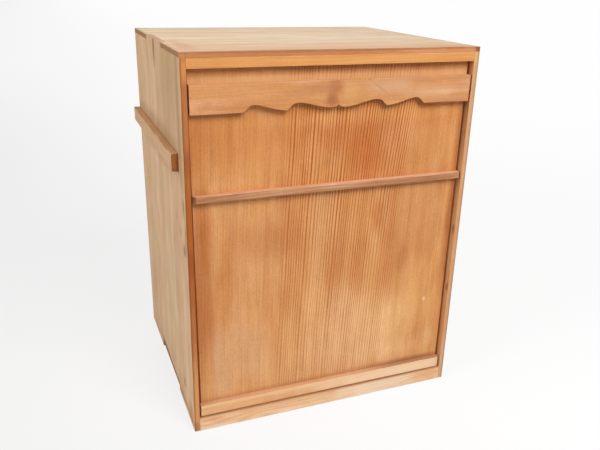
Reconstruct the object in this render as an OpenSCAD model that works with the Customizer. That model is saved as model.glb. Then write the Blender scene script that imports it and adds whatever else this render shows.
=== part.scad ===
// Wooden storage box for a tea ceremony shelf, closed by a lift-out front lid.
// Millimetres, +Z up, front towards -Y, origin on the floor under the middle of the box.

/* [Case] */
// Outside width of the case over its two side walls
case_w = 472.5; // [430:0.5:520]
// Outside depth of the case from front to back
case_d = 404; // [350:1:450]
// Outside height of the case
case_h = 606; // [540:1:680]
// Thickness of the side boards
side_t = 9; // [8:0.5:12]
// Thickness of the top boards
top_t = 7.5; // [6.5:0.5:10]
// Thickness of the bottom boards
bottom_t = 8; // [6.5:0.5:10]
// Thickness of the back boards
back_t = 8; // [6.5:0.5:10]
// Height of the feet that the sides stand on, under the bottom boards
foot_h = 11; // [9:0.5:14]
// Length of each tongue of the top's finger joints, from the front face and from the back face
tongue_l = 134; // [115:1:150]
// Length of each foot, from the front face and from the back face
foot_l = 121; // [100:1:145]
// Distance from the front face to the glued seam of each side
side_seam = 203; // [185:1:218]
// Distance from the front face to the glued seam of the top
top_seam = 210; // [185:1:218]
// Distance from the front face to the glued seam of the bottom
bottom_seam = 198; // [185:1:218]
// Width of the left and of the right board of the back
back_board_w = 151; // [130:1:170]
// Width planed off the long outer edges of the case
edge_ease = 0.8; // [0.4:0.1:1.4]

/* [Front frame] */
// Height of the rail above the lid
rail_h = 14.5; // [12:0.5:18]
// Thickness of the rail and of the sill, from front to back
rail_t = 9; // [8:0.5:10]
// Height of the sill below the lid
sill_h = 25; // [23:0.5:28]
// Width of the strips that the lid leans against, across the opening
stop_w = 8; // [6:0.5:12]
// Thickness of these strips, from front to back
stop_t = 8; // [6:0.5:12]
// Height of the strip behind the lid's top edge
top_stop_h = 16; // [12:0.5:24]

/* [Lid panel] */
// Thickness of the lid's three boards
lid_t = 8; // [7:0.5:10]
// Width of the lid's left board at its top end
lid_left_w = 141.8; // [120:0.1:160]
// Width of the lid's right board
lid_right_w = 83; // [70:1:110]
// Gap between the lid and the right side wall
lid_side_gap = 4.2; // [1:0.1:4.6]
// Gap between the lid's top left corner and the left side wall
lid_left_gap = 2; // [0.8:0.1:2.4]
// How much wider that gap is at the lid's lower left corner
lid_left_taper = 3.2; // [0:0.1:3.6]
// Gap between the lid's face and the rail and sill in front of it
lid_front_gap = 1; // [0.6:0.1:1.4]
// Gap between the lid's back and the strips behind it
lid_back_gap = 0.8; // [0.4:0.1:1]
// Gap between the lid's lower edge and the bottom board that it rests on
lid_seat_gap = 0.3; // [0.2:0.1:0.4]
// Height of the lid's top edge behind the rail, when the lid is down
lid_cover = 5; // [4:0.5:6]

/* [Pull board] */
// Height of the carved pull board at its ends
pull_h = 41.5; // [38:0.5:52]
// Thickness of the pull board
pull_t = 9.5; // [8:0.5:10]
// Distance from the rail down to the top of the pull board
pull_drop = 21; // [16:0.5:26]
// Gap between each end of the pull board and the side wall
pull_end_gap = 2.3; // [0.8:0.1:3]
// Height of the arches above the pull board's straight lower edge
arch_rise = 10.4; // [7:0.2:14]
// Length of each inner arch, from the lobe to the point beside it
arch_l = 68.5; // [60:0.5:74]
// Length of each outer arch, from that point to the straight end
outer_arch_l = 67.5; // [60:0.5:76]
// How far to the right of the pull board's middle the carving's middle lies
carve_shift = -2.3; // [-4:0.1:4]
// Half width of the two rounded lobes at the middle
lobe_l = 12; // [10:0.5:17]
// Height of these lobes above the pull board's straight lower edge
lobe_rise = 1.2; // [0:0.2:2.4]
// Height of the small cusp between the two lobes, above the same edge
cusp_rise = 5; // [3.6:0.2:7]

/* [Battens] */
// Height of the middle batten's lower edge above the floor
mid_z = 393.5; // [330:0.5:440]
// Height of the middle batten
mid_h = 10.5; // [9:0.5:16]
// Thickness of the middle batten
mid_t = 9.8; // [7:0.2:10]
// Length planed off the left end of the middle batten, on its face
mid_left_bevel = 4.5; // [1:0.5:8]
// How far back that slope runs
mid_left_slope = 6; // [1:0.5:7]
// Length planed off the right end of the middle batten, on its face
mid_right_bevel = 1.5; // [0.5:0.5:8]
// How far back that slope runs
mid_right_slope = 1.5; // [0.5:0.5:7]
// Height of the base batten
base_h = 19.8; // [15:0.2:26]
// Thickness of the base batten
base_t = 9.2; // [7:0.2:10]
// Length planed off the left end of the base batten, on its face
base_left_bevel = 0.9; // [0.5:0.1:8]
// How far back that slope runs
base_left_slope = 0.9; // [0.5:0.1:6]
// Length planed off the right end of the base batten, on its face
base_right_bevel = 8.5; // [1:0.5:12]
// How far back that slope runs
base_right_slope = 2.5; // [0.5:0.5:6]
// Gap between the sill and the base batten, when the lid is down
base_gap = 2.2; // [1.5:0.1:4]
// Gap between each end of these battens and the side wall
batten_end_gap = 2.8; // [0.8:0.1:3.4]
// Width planed off the long edges of the pull board and battens
batten_ease = 0.9; // [0.4:0.1:1.6]

/* [Carry battens] */
// Height of the carry battens' lower edge above the floor
carry_z = 434.5; // [380:0.5:480]
// Height of the carry battens
carry_h = 26.5; // [20:0.5:34]
// Thickness of the carry battens, out from the side walls
carry_t = 11; // [9:0.5:16]
// Distance from the front face to the front end of the carry battens
carry_front = 35; // [25:1:60]
// Radius of the carry battens' lower outer edge
carry_r = 4; // [1.5:0.5:5]

/* [Pegs] */
// Diameter of the wooden pegs
peg_d = 2.6; // [2:0.1:3.2]
// Length of the pegs in the case joints
peg_l = 18; // [14:1:20]
// Radial clearance of a peg in its bore
peg_fit = 0.05; // [0.02:0.01:0.1]
// Distance of the outer pegs from the end of the piece that they hold
peg_inset = 24; // [18:1:30]
// Wood left between a blind peg's tip and the face beyond it
peg_blind = 2; // [1.5:0.25:3]

/* [Hidden] */
$fn = 32;
past = 1;
front = -case_d / 2;
back = case_d / 2;
half_w = case_w / 2;
in_w = half_w - side_t;
tongue_front = front + tongue_l;
tongue_back = back - tongue_l;
foot_front = front + foot_l;
foot_back = back - foot_l;
top_z = case_h - top_t;
bottom_z = foot_h + bottom_t;
rail_z = top_z - rail_h;
frame_back = front + rail_t;
lid_right = in_w - lid_side_gap;
lid_left = lid_left_gap - in_w;
lid_face = frame_back + lid_front_gap;
lid_back = lid_face + lid_t;
lid_z = bottom_z + lid_seat_gap;
lid_top = rail_z + lid_cover;
lid_seam_left = lid_left + lid_left_w;
lid_seam_right = lid_right - lid_right_w;
stop_face = lid_back + lid_back_gap;
stop_back = stop_face + stop_t;
pull_w = in_w - pull_end_gap;
pull_top = rail_z - pull_drop;
pull_low = pull_top - pull_h;
batten_w = in_w - batten_end_gap;
base_z = sill_h + base_gap;
carry_x = half_w + carry_t;
carry_y = front + carry_front;
back_face = back - back_t;
back_seam = in_w - back_board_w;
bore_end = 0.2;
lid_peg_l = min(pull_t, mid_t, base_t) + lid_t - peg_blind;
carry_peg_l = carry_t + side_t - peg_blind;

DOWN = [180, 0, 0];
UP = [0, 0, 0];
FORWARD = [90, 0, 0];
OUTWARD = 90;

// Even places along a stretch, with the first and last one inset from its ends
function spread(from, to, inset, count) =
    [for (i = [0 : count - 1]) from + inset + i * (to - from - 2 * inset) / (count - 1)];

// Points of one curved stretch, from a up to but without b, steered by the handles u and v
function curve(a, u, v, b, steps = 8) = [
    for (i = [0 : steps - 1])
        let (t = i / steps, s = 1 - t)
            s * s * s * a + 3 * s * s * t * u + 3 * s * t * t * v + t * t * t * b
];

// Peg places: where the peg starts on the surface, then the way that it is driven
finger_y = [tongue_front + peg_inset, tongue_back - peg_inset];
notch_y = [foot_front + peg_inset, foot_back - peg_inset];
foot_y = concat(
    spread(front, foot_front, peg_inset + rail_t, 2),
    spread(foot_back, back, peg_inset + back_t, 2)
);
tongue_y = concat(
    spread(front, tongue_front, peg_inset, 2),
    spread(tongue_back, back, peg_inset, 2)
);
top_pegs = concat(
    [for (s = [-1, 1], y = tongue_y) [[s * (half_w - side_t / 2), y, case_h], DOWN]],
    [for (s = [-1, 1], y = finger_y) [[s * half_w, y, top_z + top_t / 2], [0, -s * OUTWARD, 0]]]
);
bottom_pegs = concat(
    [for (s = [-1, 1], y = foot_y) [[s * half_w, y, foot_h + bottom_t / 2], [0, -s * OUTWARD, 0]]],
    [for (s = [-1, 1], y = notch_y) [[s * (half_w - side_t / 2), y, foot_h], UP]]
);
frame_pegs = [
    for (s = [-1, 1], z = [sill_h / 2, rail_z + rail_h / 2])
        [[s * half_w, front + rail_t / 2, z], [0, -s * OUTWARD, 0]]
];
back_side_pegs = [
    for (s = [-1, 1], z = spread(bottom_z, top_z, peg_inset, 4))
        [[s * half_w, back - back_t / 2, z], [0, -s * OUTWARD, 0]]
];
back_top_pegs = [
    for (x = [-in_w + back_board_w / 2, 0, in_w - back_board_w / 2])
        [[x, back - back_t / 2, case_h], DOWN]
];
carry_pegs = [
    for (s = [-1, 1], y = spread(carry_y, back - back_t, peg_inset, 4))
        [[s * in_w, y, carry_z + carry_h / 2], [0, s * OUTWARD, 0]]
];
lid_peg_x = concat(
    spread(lid_left + lid_left_taper, lid_seam_left, peg_inset, 2),
    spread(lid_seam_left, lid_seam_right, peg_inset, 2),
    spread(lid_seam_right, lid_right, peg_inset, 2)
);
lid_board_pegs = [
    for (z = [base_z + base_h / 2, mid_z + mid_h / 2, pull_top - (pull_h - arch_rise) / 2], x = lid_peg_x)
        [[x, lid_back, z], FORWARD]
];

// The pegs of one list
module pegs(places, length) {
    for (p = places)
        translate(p[0]) rotate(p[1]) cylinder(h = length, d = peg_d);
}

// The blind bores for the pegs of one list
module bores(places, length) {
    for (p = places)
        translate(p[0]) rotate(p[1]) translate([0, 0, -past])
            cylinder(h = length + bore_end + past, d = peg_d + 2 * peg_fit);
}

// A board between two corners
module board(low, high) {
    translate(low) cube(high - low);
}

// An outline in depth and height, run along the width from x0 to x1
module along_x(x0, x1) {
    translate([x0, 0, 0]) rotate([90, 0, 90]) linear_extrude(x1 - x0) children();
}

// An outline in width and height, run back from y0 to y1
module along_y(y0, y1) {
    translate([0, y1, 0]) rotate([90, 0, 0]) linear_extrude(y1 - y0) children();
}

// A strip of material to plane off a long edge, centred on it and running along Z
module plane_cut(length) {
    rotate([0, 0, 45]) cube([edge_ease * sqrt(2), edge_ease * sqrt(2), length + 2 * past], center = true);
}

// What is planed off the upright and top outer edges of the case
module planed_edges() {
    for (s = [-1, 1], y = [front, back])
        translate([s * half_w, y, case_h / 2]) plane_cut(case_h);
    for (s = [-1, 1])
        translate([s * half_w, 0, case_h]) rotate([90, 0, 0]) plane_cut(case_d);
    for (y = [front, back])
        translate([0, y, case_h]) rotate([0, 90, 0]) plane_cut(case_w);
}

// Front board of a side wall: a foot and a cheek at the front, a finger at the middle
module side_front(s) {
    difference() {
        along_x(s > 0 ? in_w : -half_w, s > 0 ? half_w : -in_w) polygon([
            [front, 0],
            [foot_front, 0],
            [foot_front, bottom_z],
            [front + side_seam, bottom_z],
            [front + side_seam, case_h],
            [tongue_front, case_h],
            [tongue_front, top_z],
            [front, top_z]
        ]);
        planed_edges();
        side_bores();
    }
}

// Rear board of a side wall, which ends flush with the back
module side_rear(s) {
    difference() {
        along_x(s > 0 ? in_w : -half_w, s > 0 ? half_w : -in_w) polygon([
            [back, 0],
            [back, top_z],
            [tongue_back, top_z],
            [tongue_back, case_h],
            [front + side_seam, case_h],
            [front + side_seam, bottom_z],
            [foot_back, bottom_z],
            [foot_back, 0]
        ]);
        planed_edges();
        side_bores();
    }
}

// Every bore that runs into or through a side wall
module side_bores() {
    bores(top_pegs, peg_l);
    bores(bottom_pegs, peg_l);
    bores(frame_pegs, peg_l);
    bores(back_side_pegs, peg_l);
    bores(carry_pegs, carry_peg_l);
}

// A board of the top or bottom, with tongues to the outer faces where outer is true
module plate(y0, y1, low, high, tongue0, tongue1) {
    union() {
        board([-in_w, y0, low], [in_w, y1, high]);
        board([-half_w, tongue0, low], [half_w, tongue1, high]);
    }
}

module left_side_front_board() color([0.80, 0.67, 0.50]) side_front(-1);
module left_side_rear_board() color([0.77, 0.65, 0.50]) side_rear(-1);
module right_side_front_board() color([0.80, 0.67, 0.50]) side_front(1);
module right_side_rear_board() color([0.77, 0.65, 0.50]) side_rear(1);

module top_front_board() {
    color([0.90, 0.80, 0.66]) difference() {
        plate(front, front + top_seam, top_z, case_h, front, tongue_front);
        planed_edges();
        bores(top_pegs, peg_l);
    }
}

module top_rear_board() {
    color([0.91, 0.82, 0.69]) difference() {
        plate(front + top_seam, back, top_z, case_h, tongue_back, back);
        planed_edges();
        bores(top_pegs, peg_l);
        bores(back_top_pegs, peg_l);
    }
}

module bottom_front_board() {
    color([0.84, 0.70, 0.52]) difference() {
        plate(frame_back, front + bottom_seam, foot_h, bottom_z, foot_front, front + bottom_seam);
        bores(bottom_pegs, peg_l);
    }
}

module bottom_rear_board() {
    color([0.83, 0.68, 0.50]) difference() {
        plate(front + bottom_seam, back_face, foot_h, bottom_z, front + bottom_seam, foot_back);
        bores(bottom_pegs, peg_l);
    }
}

// One board of the back, which stands on the floor between the side walls
module back_board(x0, x1) {
    difference() {
        board([x0, back_face, 0], [x1, back, top_z]);
        bores(back_side_pegs, peg_l);
        bores(back_top_pegs, peg_l);
    }
}

module back_left_board() color([0.82, 0.66, 0.47]) back_board(-in_w, -back_seam);
module back_centre_board() color([0.84, 0.68, 0.49]) back_board(-back_seam, back_seam);
module back_right_board() color([0.82, 0.66, 0.47]) back_board(back_seam, in_w);

// A cross bar of the front frame, flush with the case's front
module frame_bar(z0, z1) {
    difference() {
        board([-in_w, front, z0], [in_w, frame_back, z1]);
        bores(frame_pegs, peg_l);
    }
}

module upper_front_rail() color([0.92, 0.66, 0.41]) frame_bar(rail_z, top_z);
module sill_rail() color([0.92, 0.73, 0.55]) frame_bar(0, sill_h);

module left_stop_strip() {
    color([0.78, 0.56, 0.36]) board([-in_w, stop_face, bottom_z], [stop_w - in_w, stop_back, top_z]);
}

module right_stop_strip() {
    color([0.78, 0.56, 0.36]) board([in_w - stop_w, stop_face, bottom_z], [in_w, stop_back, top_z]);
}

module upper_stop_strip() {
    color([0.78, 0.56, 0.36])
        board([stop_w - in_w, stop_face, top_z - top_stop_h], [in_w - stop_w, stop_back, top_z]);
}

// A handle batten along the outside of a side wall, rounded where the fingers hold it
module carry_batten(s) {
    arc = [for (a = [0 : 15 : 90]) [
        carry_x - carry_r + carry_r * sin(a),
        carry_z + carry_r - carry_r * cos(a)
    ]];
    outline = concat(arc, [
        [carry_x, carry_z + carry_h - batten_ease],
        [carry_x - batten_ease, carry_z + carry_h],
        [half_w, carry_z + carry_h],
        [half_w, carry_z]
    ]);
    difference() {
        mirror([s < 0 ? 1 : 0, 0, 0]) along_y(carry_y, back) polygon(outline);
        bores(carry_pegs, carry_peg_l);
    }
}

module left_carry_batten() color([0.76, 0.60, 0.42]) carry_batten(-1);
module right_carry_batten() color([0.76, 0.60, 0.42]) carry_batten(1);

// One upright board of the lid's panel, narrower at its lower left corner by a taper
module lid_board(x0, x1, taper = 0) {
    difference() {
        along_y(lid_face, lid_back)
            polygon([[x0 + taper, lid_z], [x1, lid_z], [x1, lid_top], [x0, lid_top]]);
        bores(lid_board_pegs, lid_peg_l);
    }
}

module lid_left_board() color([0.80, 0.53, 0.32]) lid_board(lid_left, lid_seam_left, lid_left_taper);
module lid_centre_board() color([0.87, 0.63, 0.41]) lid_board(lid_seam_left, lid_seam_right);
module lid_right_board() color([0.83, 0.57, 0.35]) lid_board(lid_seam_right, lid_right);

// Right half of the pull board's lower edge, from the straight end to the middle
function pull_edge() =
    let (
        low = pull_low,
        lobe = low + lobe_rise,
        tip = lobe_l + arch_l,
        end = tip + outer_arch_l,
        high = low + arch_rise
    )
    concat(
        curve([end, low], [end - 5, low], [end - 9, high], [end - 17, high]),
        curve([end - 17, high], [end - 28, high], [tip + 22, low + 1], [tip, low]),
        curve([tip, low], [tip - 5, low + 4], [tip - 8, high], [tip - 18, high]),
        curve([tip - 18, high], [tip - 31, high], [lobe_l + 16, lobe], [lobe_l, lobe]),
        curve([lobe_l, lobe], [lobe_l - 6, lobe], [lobe_l - 10, lobe + 1], [0, low + cusp_rise])
    );

// The carved board that the fingers lift the lid by
module carved_pull_board() {
    edge = pull_edge();
    right = [for (p = edge) [carve_shift + p[0], p[1]]];
    left = [for (i = [len(edge) - 1 : -1 : 0]) [carve_shift - edge[i][0], edge[i][1]]];
    face = lid_face - pull_t;
    color([0.87, 0.64, 0.44]) difference() {
        intersection() {
            along_y(face, lid_face) polygon(concat(
                [[pull_w, pull_top], [pull_w, pull_low]],
                right,
                [[carve_shift, pull_low + cusp_rise]],
                left,
                [[-pull_w, pull_low], [-pull_w, pull_top]]
            ));
            along_x(-pull_w, pull_w) polygon([
                [lid_face, pull_low - past],
                [lid_face, pull_top],
                [face + batten_ease, pull_top],
                [face, pull_top - batten_ease],
                [face, pull_low - past]
            ]);
        }
        bores(lid_board_pegs, lid_peg_l);
    }
}

// A batten across the lid, with its long edges eased and a slope planed at each end: [length, run back]
module lid_batten(z, height, thick, left_end, right_end) {
    face = lid_face - thick;
    difference() {
        intersection() {
            along_x(-batten_w, batten_w) polygon([
                [lid_face, z],
                [lid_face, z + height],
                [face + batten_ease, z + height],
                [face, z + height - batten_ease],
                [face, z + batten_ease],
                [face + batten_ease, z]
            ]);
            translate([0, 0, z - past]) linear_extrude(height + 2 * past) polygon([
                [-batten_w, lid_face + past],
                [-batten_w, face + left_end[1]],
                [left_end[0] - batten_w, face],
                [batten_w - right_end[0], face],
                [batten_w, face + right_end[1]],
                [batten_w, lid_face + past]
            ]);
        }
        bores(lid_board_pegs, lid_peg_l);
    }
}

module middle_batten() {
    left_end = [mid_left_bevel, mid_left_slope];
    right_end = [mid_right_bevel, mid_right_slope];
    color([0.79, 0.56, 0.41]) lid_batten(mid_z, mid_h, mid_t, left_end, right_end);
}

module base_batten() {
    left_end = [base_left_bevel, base_left_slope];
    right_end = [base_right_bevel, base_right_slope];
    color([0.90, 0.69, 0.47]) lid_batten(base_z, base_h, base_t, left_end, right_end);
}

module top_joint_pegs() color([0.70, 0.52, 0.32]) pegs(top_pegs, peg_l);
module bottom_joint_pegs() color([0.70, 0.52, 0.32]) pegs(bottom_pegs, peg_l);
module rail_pegs() color([0.70, 0.52, 0.32]) pegs(frame_pegs, peg_l);
module back_pegs() color([0.70, 0.52, 0.32]) pegs(concat(back_side_pegs, back_top_pegs), peg_l);
module carry_batten_pegs() color([0.70, 0.52, 0.32]) pegs(carry_pegs, carry_peg_l);
module lid_pegs() color([0.70, 0.52, 0.32]) pegs(lid_board_pegs, lid_peg_l);

left_side_front_board();
left_side_rear_board();
right_side_front_board();
right_side_rear_board();
top_front_board();
top_rear_board();
bottom_front_board();
bottom_rear_board();
back_left_board();
back_centre_board();
back_right_board();
upper_front_rail();
sill_rail();
left_stop_strip();
right_stop_strip();
upper_stop_strip();
left_carry_batten();
right_carry_batten();
lid_left_board();
lid_centre_board();
lid_right_board();
carved_pull_board();
middle_batten();
base_batten();
top_joint_pegs();
bottom_joint_pegs();
rail_pegs();
back_pegs();
carry_batten_pegs();
lid_pegs();
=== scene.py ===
"""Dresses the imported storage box: softened boards, figured cedar, and a pale stage with its camera."""

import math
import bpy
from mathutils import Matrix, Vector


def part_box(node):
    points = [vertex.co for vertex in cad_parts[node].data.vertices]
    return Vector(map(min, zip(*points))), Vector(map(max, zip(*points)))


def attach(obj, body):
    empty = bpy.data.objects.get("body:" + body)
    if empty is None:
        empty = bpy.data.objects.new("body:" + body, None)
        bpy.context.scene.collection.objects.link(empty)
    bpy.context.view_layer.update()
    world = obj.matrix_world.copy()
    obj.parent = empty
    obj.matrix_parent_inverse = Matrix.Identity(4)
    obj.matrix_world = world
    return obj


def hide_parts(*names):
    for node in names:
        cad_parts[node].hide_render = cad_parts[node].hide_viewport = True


bl_info = {
    "name": "Cedar Storage Box",
    "version": (1, 0, 0),
    "blender": (4, 5, 0),
    "location": "View3D > Sidebar > Cedar Box",
    "description": "Models and finishes the boards, lid and battens of a tea shelf's storage box",
    "category": "Object",
}

from contextlib import contextmanager
from dataclasses import dataclass

import bmesh
import bpy
from bpy.props import FloatProperty, FloatVectorProperty, PointerProperty
from mathutils import Quaternion, Vector, noise

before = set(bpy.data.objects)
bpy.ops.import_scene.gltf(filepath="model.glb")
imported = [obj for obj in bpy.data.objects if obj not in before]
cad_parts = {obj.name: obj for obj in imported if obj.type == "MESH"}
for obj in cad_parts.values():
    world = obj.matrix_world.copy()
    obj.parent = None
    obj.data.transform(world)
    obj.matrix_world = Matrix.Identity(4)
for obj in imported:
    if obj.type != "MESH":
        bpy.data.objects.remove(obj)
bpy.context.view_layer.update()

MM = 0.001
X, Y, Z = 0, 1, 2
LEFT, RIGHT = Vector((-1, 0, 0)), Vector((1, 0, 0))
FORWARD, REARWARD = Vector((0, -1, 0)), Vector((0, 1, 0))
DOWN, UP = Vector((0, 0, -1)), Vector((0, 0, 1))
# Places nearer than this count as one place, and points nearer than this as one point
CLOSE = 0.05 * MM
SAME_POINT = 0.01 * MM
# Spacing of the cuts across a board, and of those along a broad one, between which its edges wear unevenly
CUTS = 11 * MM
CROSS_CUTS = 13 * MM
# How far a bore reaches past its peg, at each end
BORE_PAST = 0.2 * MM
# The nick in the pull board's top edge, and the roundings of the lid's own edges
NICK_X = 46.6 * MM
NICK_WIDE = 3 * MM
NICK_DEEP = 1.2 * MM
LID_ARRIS = 0.5 * MM
PULL_ARRIS = 0.9 * MM
BATTEN_ARRIS = 1.0 * MM
# Edges that turn less than the first angle stay as they are, and faces are smooth across less than the second
FLATTEST_EDGE = math.radians(8)
SMOOTH_BELOW = math.radians(40)
# Weight of a fully rounded edge, which leaves room for wear to round it more
FULL_WEIGHT = 0.8
# Lumps in a metre of the coarse and of the fine wear along an edge, and how strong the fine one is
COARSE_WEAR, FINE_WEAR, FINE_SHARE = 38, 110, 0.6


def reach(node, plane_axis, plane, axis):
    """The lowest and highest place along an axis among a node's points that lie in one plane."""
    found = [v.co[axis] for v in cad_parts[node].data.vertices if abs(v.co[plane_axis] - plane) < CLOSE]
    return min(found), max(found)


CASE_LOW = Vector((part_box("top_front_board")[0].x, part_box("top_front_board")[0].y, 0.0))
CASE_HIGH = Vector((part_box("top_front_board")[1].x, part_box("top_rear_board")[1].y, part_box("top_front_board")[1].z))
INNER_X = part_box("upper_front_rail")[1].x
TOP_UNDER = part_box("top_front_board")[0].z
BOTTOM_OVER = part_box("bottom_front_board")[1].z


def corners_of(points):
    """The lowest and highest corner of the box round some mesh points."""
    low, high = ([end(v.co[axis] for v in points) for axis in (X, Y, Z)] for end in (min, max))
    return Vector(low), Vector(high)


def peg_boxes():
    """The lowest and highest corner of each single peg, from the groups of pegs in the frame."""
    boxes = []
    for name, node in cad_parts.items():
        if not name.endswith("_pegs"):
            continue
        mesh = bmesh.new()
        mesh.from_mesh(node.data)
        bmesh.ops.remove_doubles(mesh, verts=mesh.verts, dist=SAME_POINT)
        left = set(mesh.verts)
        while left:
            group, fresh = set(), {min(left, key=lambda v: v.index)}
            while fresh:
                group |= fresh
                fresh = {e.other_vert(v) for v in fresh for e in v.link_edges} - group
            left -= group
            boxes.append(corners_of(group))
        mesh.free()
    return boxes


PEGS = peg_boxes()


def setting(name, description, default, unit="LENGTH"):
    """A number or a place that the panel shows."""
    kind = FloatVectorProperty if isinstance(default, tuple) else FloatProperty
    return kind(name=name, description=description, default=default, unit=unit)


class BoxSizes(bpy.types.PropertyGroup):
    """Sizes that shape the edges of the boards."""

    arris: setting("Outer edge", "Rounding of the case's outer edges", 1.3 * MM)
    top_arris: setting("Top edge", "Rounding of the top's four upright corners", 5 * MM)
    inner_arris: setting("Inner edge", "Rounding of edges that face an opening", 0.6 * MM)
    carry_arris: setting("Carry edge", "Rounding of the carry battens' lower outer edge", 4 * MM)
    seam: setting("Seam edge", "Rounding of edges that meet another board", 0.22 * MM)
    bore_fit: setting("Bore fit", "Clearance round a peg in its bore", 0.06 * MM)
    wear: setting("Wear", "How unevenly the edges are rounded", 0.45, "NONE")


def box_sizes():
    return bpy.context.scene.box_sizes


class StageSettings(bpy.types.PropertyGroup):
    """Camera and lamps."""

    camera_place: setting("Camera", "Where the camera stands", (-0.40687, -1.07176, 0.70339))
    camera_aim: setting("Aim", "The point that the camera looks at", (-0.05568, -0.192, 0.33917))
    camera_roll: setting("Roll", "Turn of the camera about its line of sight", math.radians(1.373), "ROTATION")
    lens: setting("Lens", "Focal length on a 36 mm film", 38.957, "CAMERA")
    key_power: setting("Key lamp", "Power of the large lamp", 59.0, "POWER")
    fill_power: setting("Fill lamp", "Power of the left lamp", 50.0, "POWER")
    rear_power: setting("Rear lamp", "Power of the lamp behind", 14.0, "POWER")
    sky: setting("Sky", "Strength of the even light from all round", 0.2, "NONE")


def deselect():
    """Nothing selected, so that an operator acts only on what is picked next."""
    bpy.ops.object.select_all(action="DESELECT")


def start_block(name, low, high):
    """A block between two corners, ready to be worked."""
    deselect()
    bpy.ops.mesh.primitive_cube_add(size=1, location=(low + high) / 2)
    piece = bpy.context.object
    piece.scale = high - low
    bpy.ops.object.transform_apply(location=True, rotation=True, scale=True)
    piece.name = piece.data.name = name
    return piece


@contextmanager
def editing():
    """Edit mode, while the newest block is worked."""
    bpy.ops.object.mode_set(mode="EDIT")
    yield
    bpy.ops.object.mode_set(mode="OBJECT")


def pick(piece, kind, wanted):
    """Selects the faces or the points of the piece in edit mode that pass a test."""
    bpy.ops.mesh.select_mode(type={"faces": "FACE", "verts": "VERT"}[kind])
    bpy.ops.mesh.select_all(action="DESELECT")
    mesh = bmesh.from_edit_mesh(piece.data)
    mesh.normal_update()
    for part in getattr(mesh, kind):
        if wanted(part):
            part.select_set(True)
    mesh.select_flush_mode()
    bmesh.update_edit_mesh(piece.data)


def cut(place, normal):
    """Cuts the whole piece in edit mode along a plane."""
    bpy.ops.mesh.select_all(action="SELECT")
    bpy.ops.mesh.bisect(plane_co=place, plane_no=normal)


def grow(piece, direction, wanted, distance):
    """Pulls the faces that look one way and pass a test out along it."""
    pick(piece, "faces", lambda f: f.normal.dot(direction) > 0.99 and wanted(f.calc_center_median()))
    bpy.ops.mesh.extrude_region_move(TRANSFORM_OT_translate={"value": direction * distance})


def chop(piece, axis, spacing=CUTS):
    """Cuts the piece in edit mode across an axis at even steps, so that its edges can wear unevenly."""
    places = [v.co[axis] for v in bmesh.from_edit_mesh(piece.data).verts]
    low, high = min(places), max(places)
    count = round((high - low) / spacing)
    normal = Vector([1.0 if part == axis else 0.0 for part in (X, Y, Z)])
    for step in range(1, count):
        cut(normal * (low + (high - low) * step / count), normal)


def work_on(piece):
    """Makes one piece the only selected and the active object."""
    deselect()
    piece.select_set(True)
    bpy.context.view_layer.objects.active = piece


def ease_edges(piece, radius, share, segments=3):
    """Rounds each outward edge of the piece by its share of the radius, more in some places than in others."""
    wear = box_sizes().wear
    mesh = bmesh.new()
    mesh.from_mesh(piece.data)
    bmesh.ops.remove_doubles(mesh, verts=mesh.verts, dist=SAME_POINT)
    bmesh.ops.recalc_face_normals(mesh, faces=mesh.faces)
    weights = mesh.edges.layers.float.new("bevel_weight_edge")
    for edge in mesh.edges:
        if edge.is_manifold and edge.calc_face_angle_signed(0) > FLATTEST_EDGE:
            middle = middle_of(edge)
            lumps = noise.noise(middle * COARSE_WEAR) + FINE_SHARE * noise.noise(middle * FINE_WEAR)
            rubbed = 1 + wear * lumps
            edge[weights] = min(1.0, share(edge) * rubbed * FULL_WEIGHT)
    mesh.to_mesh(piece.data)
    mesh.free()
    work_on(piece)
    rounding = piece.modifiers.new("rounding", "BEVEL")
    rounding.limit_method = "WEIGHT"
    rounding.width = radius / FULL_WEIGHT
    rounding.segments = segments
    rounding.use_clamp_overlap = True
    bpy.ops.object.modifier_apply(modifier=rounding.name)


def bore(piece):
    """Drills the piece for each peg that reaches into it."""
    fit = box_sizes().bore_fit
    start, stop = corners_of(piece.data.vertices)
    drills = []
    for low, high in PEGS:
        if any(high[axis] < start[axis] + CLOSE or low[axis] > stop[axis] - CLOSE for axis in (X, Y, Z)):
            continue
        size = high - low
        along = max((X, Y, Z), key=lambda axis: size[axis])
        turn = {X: (0, math.pi / 2, 0), Y: (math.pi / 2, 0, 0), Z: (0, 0, 0)}[along]
        deselect()
        bpy.ops.mesh.primitive_cylinder_add(
            vertices=32, radius=min(size) / 2 + fit, depth=size[along] + BORE_PAST * 2,
            location=(low + high) / 2, rotation=turn,
        )
        bpy.ops.object.transform_apply(location=True, rotation=True, scale=True)
        drills.append(bpy.context.object)
    if not drills:
        return
    work_on(drills[0])
    for drill in drills:
        drill.select_set(True)
    if len(drills) > 1:
        bpy.ops.object.join()
    drill = bpy.context.object
    work_on(piece)
    holes = piece.modifiers.new("holes", "BOOLEAN")
    holes.operation = "DIFFERENCE"
    holes.solver = "EXACT"
    holes.object = drill
    bpy.ops.object.modifier_apply(modifier=holes.name)
    work_on(drill)
    bpy.ops.object.delete()


def polish(piece):
    """Shades the piece smooth over its rounded edges, with flat faces left flat."""
    work_on(piece)
    bpy.ops.object.shade_smooth_by_angle(angle=SMOOTH_BELOW)
    flat = piece.modifiers.new("flat faces", "WEIGHTED_NORMAL")
    flat.keep_sharp = True
    bpy.ops.object.modifier_apply(modifier=flat.name)


def middle_of(edge):
    return (edge.verts[0].co + edge.verts[1].co) / 2


def outer_planes(point):
    """How many of the case's outside planes a point lies in."""
    return sum(
        abs(point[axis] - CASE_LOW[axis]) < CLOSE or abs(point[axis] - CASE_HIGH[axis]) < CLOSE for axis in (X, Y, Z)
    )


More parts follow.
